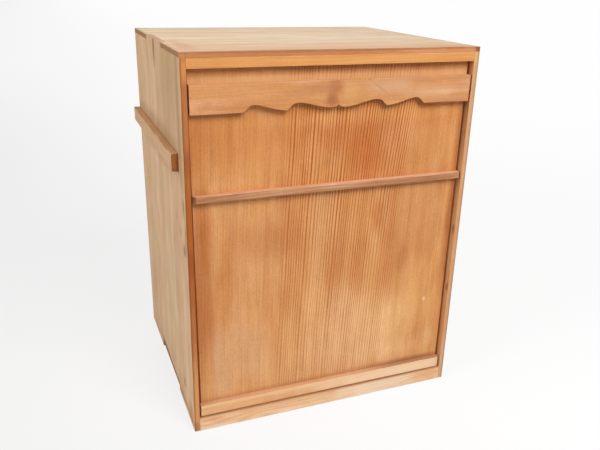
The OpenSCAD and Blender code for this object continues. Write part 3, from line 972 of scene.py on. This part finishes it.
class BOX_OT_top(bpy.types.Operator):
    """Models the two boards of the top"""

    bl_idname = "cedar_box.top"
    bl_label = "Top"

    def execute(self, context):
        sizes = box_sizes()

        def share(edge):
            middle = middle_of(edge)
            if outer_planes(middle) >= 2:
                if CASE_HIGH.z - middle.z > CLOSE:
                    return 1.0
                return 0.36 if abs(middle.y - CASE_LOW.y) < CLOSE and abs(middle.x) < INNER_X else 0.6
            return sizes.seam / sizes.top_arris

        tongued_board("top_front", "top_front_board", top_timber(11.0), "top_wood", sizes.top_arris, share)
        tongued_board("top_rear", "top_rear_board", top_timber(12.0), "top_wood", sizes.top_arris, share)
        return {"FINISHED"}


class BOX_OT_bottom_and_back(bpy.types.Operator):
    """Models the boards of the bottom and of the back"""

    bl_idname = "cedar_box.bottom_and_back"
    bl_label = "Bottom and Back"

    def execute(self, context):
        bottom = plain_timber("bottom_cedar", "X", 14.0)
        arris = box_sizes().arris
        for word in ("front", "rear"):
            tongued_board(f"bottom_{word}", f"bottom_{word}_board", bottom, "inner_wood", arris, case_share)
        for number, word in enumerate(("left", "centre", "right")):
            wood = plain_timber(f"back_cedar_{word}", "Z", 15.0 + number)
            plain_board(f"back_{word}", f"back_{word}_board", "case", wood, "back_wood")
        return {"FINISHED"}


class BOX_OT_front_frame(bpy.types.Operator):
    """Models the rail above the lid, the sill below it and the strips behind it"""

    bl_idname = "cedar_box.front_frame"
    bl_label = "Front Frame"

    def execute(self, context):
        def bar_share(edge):
            return 0.45 if abs(middle_of(edge).x) < INNER_X - CLOSE else 0.16

        plain_board("rail", "upper_front_rail", "case", timber(RAIL), "rail_wood", bar_share, X)
        plain_board("sill", "sill_rail", "case", timber(SILL), "sill_wood", bar_share, X)
        upright = plain_timber("strip_cedar", "Z", 18.0, (240, 168, 104))
        level = plain_timber("top_strip_cedar", "X", 19.0, (226, 138, 72))
        for name, node, wood, along in (
            ("left_strip", "left_stop_strip", upright, Z),
            ("right_strip", "right_stop_strip", upright, Z),
            ("top_strip", "upper_stop_strip", level, X),
        ):
            plain_board(name, node, "case", wood, "strip_wood", lambda edge: 0.3, along)
        return {"FINISHED"}


class BOX_OT_carry_battens(bpy.types.Operator):
    """Models the two battens that the box is carried by"""

    bl_idname = "cedar_box.carry_battens"
    bl_label = "Carry Battens"

    def execute(self, context):
        material = timber(CARRY_BATTEN)
        for word, side in (("left", -1), ("right", 1)):
            node = f"{word}_carry_batten"
            low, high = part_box(node)
            outer = high.x if side > 0 else low.x

            def share(edge, outer=outer, low=low):
                middle = middle_of(edge)
                if abs(middle.x - outer) > CLOSE:
                    return 0.12
                return 1.0 if abs(middle.z - low.z) < CLOSE else 0.45

            radius = box_sizes().carry_arris
            plain_board(f"{word}_carry", node, "case", material, "carry_wood", share, Y, radius, 5)
        return {"FINISHED"}


class BOX_OT_lid(bpy.types.Operator):
    """Models the three boards of the lid's panel"""

    bl_idname = "cedar_box.lid"
    bl_label = "Lid Panel"

    def execute(self, context):
        material = timber(LID)
        for word in ("left", "centre", "right"):
            node = f"lid_{word}_board"
            low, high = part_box(node)
            corner = reach(node, Z, low.z, X)[0]
            piece = start_block(f"lid_{word}", low, high)
            with editing():
                pick(piece, "verts", lambda v: v.co.x < low.x + CLOSE and v.co.z < low.z + CLOSE)
                bpy.ops.transform.translate(value=(corner - low.x, 0, 0))
                chop(piece, Z)
            ease_edges(piece, LID_ARRIS, lambda edge: 1.0 if abs(middle_of(edge).x) > INNER_X - 5 * MM else 0.3)
            settle(piece, "lid", "lid_fine_wood" if word == "centre" else "lid_plain_wood", material, node)
        return {"FINISHED"}


class BOX_OT_pull_board(bpy.types.Operator):
    """Models the carved board that the lid is lifted by"""

    bl_idname = "cedar_box.pull_board"
    bl_label = "Pull Board"

    def execute(self, context):
        node = "carved_pull_board"
        low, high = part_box(node)
        outline = sorted({
            (round(v.co.x, 6), round(v.co.z, 6))
            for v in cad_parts[node].data.vertices
            if abs(v.co.y - low.y) < CLOSE and v.co.z < (low.z + high.z) / 2
        })
        piece = start_block("pull_board", low, high)
        with editing():
            for across, height in outline[1:-1]:
                cut((across, 0, 0), RIGHT)
            for across, height in outline[1:-1]:
                if height - low.z < CLOSE:
                    continue
                pick(piece, "verts", lambda v: abs(v.co.x - across) < CLOSE and v.co.z < low.z + CLOSE)
                bpy.ops.transform.translate(value=(0, 0, height - low.z))
            chop(piece, X)
            cut((0, 0, high.z - NICK_DEEP * 2.5), UP)
            for across in (NICK_X - NICK_WIDE / 2, NICK_X, NICK_X + NICK_WIDE / 2):
                cut((across, 0, 0), RIGHT)
            pick(piece, "verts", lambda v: (
                abs(v.co.x - NICK_X) < SAME_POINT and v.co.z > high.z - CLOSE and v.co.y < low.y + CLOSE
            ))
            bpy.ops.transform.translate(value=(0, NICK_DEEP * 2, -NICK_DEEP))

        def share(edge):
            run = abs(edge.verts[0].co.y - edge.verts[1].co.y)
            if run > NICK_DEEP * 3:
                return 0.5 if abs(abs(middle_of(edge).x) - high.x) < CLOSE else 0.0
            return 1.0 if middle_of(edge).y < low.y + NICK_DEEP * 2 else 0.1

        ease_edges(piece, PULL_ARRIS, share)
        settle(piece, "lid", "pull_wood", timber(PULL_BOARD), node)
        return {"FINISHED"}


def planed_batten(name, node, material, slot):
    """A batten whose face is planed off at both ends, so that they slope back to the panel."""
    low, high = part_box(node)
    piece = start_block(name, low, high)
    with editing():
        for face_end, tip in zip(reach(node, Y, low.y, X), (low.x, high.x)):
            cut((face_end, 0, 0), RIGHT)
            lip = reach(node, X, tip, Y)[0]
            pick(piece, "verts", lambda v: abs(v.co.x - tip) < CLOSE and v.co.y < low.y + CLOSE)
            bpy.ops.transform.translate(value=(0, lip - low.y, 0))
        chop(piece, X)

    def share(edge):
        return 1.0 if abs(middle_of(edge).y - low.y) < CLOSE else 0.3

    ease_edges(piece, BATTEN_ARRIS, share)
    settle(piece, "lid", slot, material, node)


class BOX_OT_lid_battens(bpy.types.Operator):
    """Models the middle batten and the base batten of the lid"""

    bl_idname = "cedar_box.lid_battens"
    bl_label = "Lid Battens"

    def execute(self, context):
        planed_batten("lid_middle_batten", "middle_batten", timber(MIDDLE_BATTEN), "middle_batten_wood")
        planed_batten("lid_base_batten", "base_batten", timber(BASE_BATTEN), "base_batten_wood")
        return {"FINISHED"}


class BOX_OT_pegs(bpy.types.Operator):
    """Gives the pegs their own wood; their ends lie flush in the boards' bores"""

    bl_idname = "cedar_box.pegs"
    bl_label = "Pegs"

    def execute(self, context):
        material = peg_timber()
        for name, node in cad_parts.items():
            if name.endswith("_pegs"):
                node.data.materials.clear()
                node.data.materials.append(material)
        return {"FINISHED"}


def soft_lamp(name, place, aim, size, power):
    """A large square lamp that faces a point."""
    light = bpy.data.lights.new(name, "AREA")
    light.shape = "SQUARE"
    light.size = size
    light.energy = power
    lamp = bpy.data.objects.new(name, light)
    bpy.context.scene.collection.objects.link(lamp)
    lamp.location = place
    lamp.rotation_euler = (Vector(aim) - Vector(place)).to_track_quat("-Z", "Y").to_euler()


class BOX_OT_stage(bpy.types.Operator):
    """Lays a pale floor, lights the box softly and sets up the camera"""

    bl_idname = "cedar_box.stage"
    bl_label = "Stage"

    def execute(self, context):
        settings = context.scene.box_stage
        deselect()
        bpy.ops.mesh.primitive_plane_add(size=60, location=(0, 0, 0))
        floor = context.object
        floor.name = "floor"
        material = bpy.data.materials.new("pale_floor")
        tree = fresh_tree(material)
        seen = put("LightPath", {}, "Is Camera Ray", tree)
        place = put("TexCoord", {}, "Object", tree)
        across, depth = split(place)[:2]
        shade = mix(fade(across, -1.2, 0.6), paint(233, 233, 233), paint(255, 255, 255))
        distant = mix(fade(across, -2.5, 2.0), paint(241, 241, 241), paint(255, 255, 255))
        shade = mix(fade(depth, 0.8, 5.0), shade, distant)
        far = length(place)
        paper = put("BsdfDiffuse", {"Color": paint(203, 203, 203)}, tree=tree)
        glow = put("Emission", {"Color": shade, "Strength": fade(far, 0.8, 3.0, 1.13, 0.99)})
        share = times(seen, fade(far, 0.8, 3.0, 0.75, 1.0))
        both = put("MixShader", {0: share, 1: paper, 2: glow})
        put("OutputMaterial", {"Surface": both})
        floor.data.materials.append(material)

        world = bpy.data.worlds.new("pale_room")
        context.scene.world = world
        tree = fresh_tree(world)
        seen = put("LightPath", {}, "Is Camera Ray", tree)
        room = put("Background", {"Color": paint(255, 253, 250), "Strength": settings.sky}, tree=tree)
        white = put("Background", {"Color": paint(250, 250, 250), "Strength": 1.0}, tree=tree)
        put("OutputWorld", {"Surface": put("MixShader", {0: seen, 1: room, 2: white})})

        soft_lamp("key", (0.5, -2.0, 2.3), (0, -0.1, 0.3), 1.2, settings.key_power)
        soft_lamp("fill", (-2.4, -0.5, 1.9), (0, 0, 0.3), 1.7, settings.fill_power)
        soft_lamp("rear", (0.9, 2.5, 2.0), (0, 0, 0.3), 1.7, settings.rear_power)

        lens = bpy.data.cameras.new("camera")
        lens.lens = settings.lens
        lens.sensor_width = 36
        camera = bpy.data.objects.new("camera", lens)
        context.scene.collection.objects.link(camera)
        context.scene.camera = camera
        camera.location = settings.camera_place
        sight = Vector(settings.camera_aim) - Vector(settings.camera_place)
        camera.rotation_mode = "QUATERNION"
        level = sight.to_track_quat("-Z", "Y")
        camera.rotation_quaternion = level @ Quaternion((0, 0, 1), settings.camera_roll)
        context.scene.view_settings.view_transform = "Standard"
        return {"FINISHED"}


class BOX_PT_panel(bpy.types.Panel):
    """Lists the steps that model and finish the box."""

    bl_idname = "BOX_PT_panel"
    bl_label = "Cedar Box"
    bl_space_type = "VIEW_3D"
    bl_region_type = "UI"
    bl_category = "Cedar Box"

    def draw(self, context):
        layout = self.layout
        for group in (box_sizes(), context.scene.box_stage):
            for name in group.__annotations__:
                layout.prop(group, name)
        for step in STEPS:
            layout.operator(step.bl_idname)


STEPS = (
    BOX_OT_stage,
    BOX_OT_walls,
    BOX_OT_top,
    BOX_OT_bottom_and_back,
    BOX_OT_front_frame,
    BOX_OT_carry_battens,
    BOX_OT_lid,
    BOX_OT_pull_board,
    BOX_OT_lid_battens,
    BOX_OT_pegs,
)
CLASSES = (BoxSizes, StageSettings, *STEPS, BOX_PT_panel)


def register():
    for item in CLASSES:
        bpy.utils.register_class(item)
    bpy.types.Scene.box_sizes = PointerProperty(type=BoxSizes)
    bpy.types.Scene.box_stage = PointerProperty(type=StageSettings)


def unregister():
    del bpy.types.Scene.box_stage
    del bpy.types.Scene.box_sizes
    for item in reversed(CLASSES):
        bpy.utils.unregister_class(item)


def main():
    """Models and dresses the whole box."""
    register()
    for step in STEPS:
        group, name = step.bl_idname.split(".")
        getattr(getattr(bpy.ops, group), name)()


if __name__ == "__main__":
    main()
